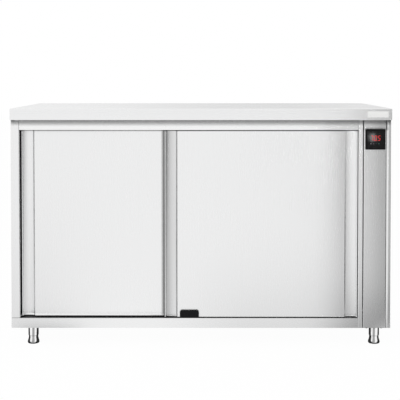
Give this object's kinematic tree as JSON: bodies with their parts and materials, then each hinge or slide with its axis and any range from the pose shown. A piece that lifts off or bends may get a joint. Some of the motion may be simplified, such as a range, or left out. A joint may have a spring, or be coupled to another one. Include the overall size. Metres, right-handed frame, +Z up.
{
  "type": "plate warmer cabinet",
  "caption": "Heated stainless steel cupboard with a worktop, two hanging sliding doors, a fan heater in a side column with a digital controller, and screw feet.",
  "frame": {"origin": "floor level under the centre of the worktop", "axes": "+X to the right seen from the front, +Y to the rear, +Z up"},
  "size_m": [1.4, 0.7, 0.88],
  "materials": {
    "satin_steel": "satin",
    "liner_steel": "satin",
    "zinc_plate": "satin",
    "polished_steel": "polished",
    "aluminium_track": "satin",
    "mineral_wool": "matte",
    "black_plastic": "satin",
    "dark_window": "gloss",
    "cream_plastic": "satin",
    "nylon": "satin",
    "wire_sleeve": "matte",
    "rubber": "matte",
    "heater_sheath": "matte",
    "brass": "satin"
  },
  "bodies": {
    "cabinet": {"worktop": "satin_steel", "worktop_ribs": "zinc_plate", "worktop_insulation": "mineral_wool", "left_side_panel": "satin_steel", "right_side_panel": "satin_steel", "header_rail": "satin_steel", "bottom_rail": "satin_steel", "base_panel": "satin_steel", "back_panel": "satin_steel", "cabinet_floor": "liner_steel", "cabinet_ceiling": "liner_steel", "cabinet_left_wall": "liner_steel", "cabinet_back_wall": "liner_steel", "column_partition": "satin_steel", "insulation_left": "mineral_wool", "insulation_back": "mineral_wool", "insulation_top": "mineral_wool", "insulation_bottom": "mineral_wool", "top_track": "aluminium_track", "track_buffers": "rubber", "door_guide": "black_plastic", "shelf_pegs": "zinc_plate", "column_fascia": "satin_steel", "controller_housing": "black_plastic", "controller_bezel": "black_plastic", "controller_window": "dark_window", "fan_box": "zinc_plate", "fan_motor": "zinc_plate", "heater_element": "heater_sheath", "temperature_probe": "zinc_plate", "safety_thermostat": "cream_plastic", "terminal_block": "cream_plastic", "wiring_loom": "wire_sleeve", "vent_plate": "satin_steel", "cable_gland": "black_plastic", "earth_stud": "brass", "panel_screws": "zinc_plate", "leg_sockets": "zinc_plate", "leg_tubes": "polished_steel"},
    "left_door": {"left_door_outer": "satin_steel", "left_door_inner": "liner_steel", "left_door_core": "mineral_wool", "left_door_hangers": "zinc_plate", "left_door_axles": "zinc_plate"},
    "right_door": {"right_door_outer": "satin_steel", "right_door_inner": "liner_steel", "right_door_core": "mineral_wool", "right_door_hangers": "zinc_plate", "right_door_axles": "zinc_plate"},
    "left_door_wheel_a": {"left_door_roller_a": "nylon"},
    "left_door_wheel_b": {"left_door_roller_b": "nylon"},
    "right_door_wheel_a": {"right_door_roller_a": "nylon"},
    "right_door_wheel_b": {"right_door_roller_b": "nylon"},
    "shelf": {"mid_shelf": "liner_steel"},
    "fan": {"fan_shaft": "zinc_plate", "fan_impeller": "zinc_plate"},
    "screw_foot_front_left": {"foot_front_left": "polished_steel"},
    "screw_foot_front_right": {"foot_front_right": "polished_steel"},
    "screw_foot_rear_left": {"foot_rear_left": "polished_steel"},
    "screw_foot_rear_right": {"foot_rear_right": "polished_steel"}
  },
  "joints": [
    {"name": "left_door_slide", "type": "slide", "parent": "cabinet", "child": "left_door", "axis": [1, 0, 0], "range_m": [0, 0.525]},
    {"name": "right_door_slide", "type": "slide", "parent": "cabinet", "child": "right_door", "axis": [1, 0, 0], "range_m": [-0.525, 0]},
    {"name": "left_door_wheel_a_roll", "type": "hinge", "parent": "left_door", "child": "left_door_wheel_a", "pos_m": [-0.575, -0.294, 0.824], "axis": [0, 1, 0], "range_deg": [-10, 3770]},
    {"name": "left_door_wheel_b_roll", "type": "hinge", "parent": "left_door", "child": "left_door_wheel_b", "pos_m": [-0.043, -0.294, 0.824], "axis": [0, 1, 0], "range_deg": [-10, 3770]},
    {"name": "right_door_wheel_a_roll", "type": "hinge", "parent": "right_door", "child": "right_door_wheel_a", "pos_m": [-0.044, -0.314, 0.824], "axis": [0, 1, 0], "range_deg": [-3770, 10]},
    {"name": "right_door_wheel_b_roll", "type": "hinge", "parent": "right_door", "child": "right_door_wheel_b", "pos_m": [0.488, -0.314, 0.824], "axis": [0, 1, 0], "range_deg": [-3770, 10]},
    {"name": "shelf_lift", "type": "slide", "parent": "cabinet", "child": "shelf", "axis": [0, 0, 1], "range_m": [0, 0.04]},
    {"name": "fan_spin", "type": "hinge", "parent": "cabinet", "child": "fan", "pos_m": [0.609, 0, 0.45], "axis": [1, 0, 0], "continuous": true},
    {"name": "foot_front_left_screw", "type": "slide", "parent": "cabinet", "child": "screw_foot_front_left", "axis": [0, 0, -1], "range_m": [-0.008, 0.015]},
    {"name": "foot_front_right_screw", "type": "slide", "parent": "cabinet", "child": "screw_foot_front_right", "axis": [0, 0, -1], "range_m": [-0.008, 0.015]},
    {"name": "foot_rear_left_screw", "type": "slide", "parent": "cabinet", "child": "screw_foot_rear_left", "axis": [0, 0, -1], "range_m": [-0.008, 0.015]},
    {"name": "foot_rear_right_screw", "type": "slide", "parent": "cabinet", "child": "screw_foot_rear_right", "axis": [0, 0, -1], "range_m": [-0.008, 0.015]}
  ],
  "couplings": [
    {"joint": "left_door_wheel_a_roll", "follows": "left_door_slide", "rad_per_m": 125},
    {"joint": "left_door_wheel_b_roll", "follows": "left_door_slide", "rad_per_m": 125},
    {"joint": "right_door_wheel_a_roll", "follows": "right_door_slide", "rad_per_m": 125},
    {"joint": "right_door_wheel_b_roll", "follows": "right_door_slide", "rad_per_m": 125}
  ]
}
